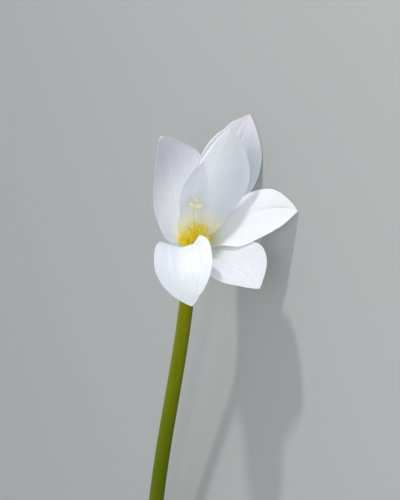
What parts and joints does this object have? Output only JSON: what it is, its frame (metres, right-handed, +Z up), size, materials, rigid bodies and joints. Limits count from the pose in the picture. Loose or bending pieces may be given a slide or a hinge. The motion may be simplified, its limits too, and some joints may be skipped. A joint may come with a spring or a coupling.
{
  "type": "rain lily flower",
  "caption": "Cut white rain lily flower lying down: cupped tepals on a long slender floral tube, with stamens, a lobed stigma, a spathe and a length of its scape.",
  "frame": {"origin": "on the surface that the flower lies on, under the middle of its outer box", "axes": "+Z up from that surface, +Y from the head along the stalk towards its cut end, +X across"},
  "size_m": [0.0442, 0.1614, 0.0317],
  "materials": {
    "tepal_white": "soft white, faintly lavender, with fine lengthwise veins",
    "tube_skin": "satin olive green, paler along its lit side",
    "scape_skin": "satin green",
    "spathe_membrane": "thin dry membrane, brownish with paler veins",
    "pollen_gold": "powdery golden yellow",
    "stigma_cream": "pale yellow green, slightly moist"
  },
  "bodies": {
    "root": {"scape": "scape_skin", "spathe": "spathe_membrane", "floral_tube": "tube_skin", "tepal_outer_left": "tepal_white", "tepal_outer_back": "tepal_white", "tepal_outer_right": "tepal_white", "tepal_inner_back": "tepal_white", "tepal_inner_right": "tepal_white", "tepal_inner_front": "tepal_white", "stamen_1": "pollen_gold", "stamen_2": "pollen_gold", "stamen_3": "pollen_gold", "stamen_4": "pollen_gold", "stamen_5": "pollen_gold", "stamen_6": "pollen_gold", "style_and_stigma": "stigma_cream"}
  },
  "joints": []
}
